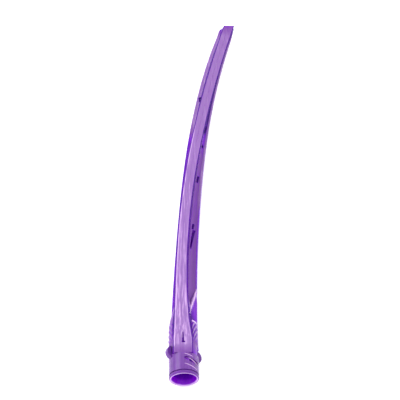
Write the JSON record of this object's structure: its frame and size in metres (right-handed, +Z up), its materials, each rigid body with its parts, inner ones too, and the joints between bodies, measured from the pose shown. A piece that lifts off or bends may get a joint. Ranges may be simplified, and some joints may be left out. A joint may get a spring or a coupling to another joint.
{
  "type": "saliva ejector tip",
  "caption": "Slim dental suction arm with a side bend, a flat front band over grooved sides, a round hose socket and a rotating vent collar.",
  "frame": {"origin": "on the hose socket's axis, where the mouth's flare meets the bore", "axes": "+Y along the socket's axis toward the tip, +Z up and out of the flat front band, +X the side that the arm bends toward; the part lies on its back flange"},
  "size_m": [0.0272, 0.1508, 0.0098],
  "materials": {
    "shell": "moulded lilac polypropylene, slightly translucent",
    "connector": "moulded violet polypropylene, translucent",
    "collar": "smooth moulded purple polypropylene",
    "tip": "soft purple vinyl",
    "valve": "soft translucent silicone",
    "retainer": "natural polypropylene",
    "wire": "annealed steel wire"
  },
  "bodies": {
    "body": {"shell_right": "shell", "shell_left": "shell", "connector_tube": "connector", "backflow_valve": "valve", "valve_retainer": "retainer", "bend_wire": "wire", "tip_strainer": "tip"},
    "collar": {"vent_collar": "collar"}
  },
  "joints": [
    {"name": "collar_turn", "type": "hinge", "parent": "body", "child": "collar", "pos_m": [0, 0.00205, 0], "axis": [0, 1, 0], "range_deg": [-40, 7]}
  ]
}
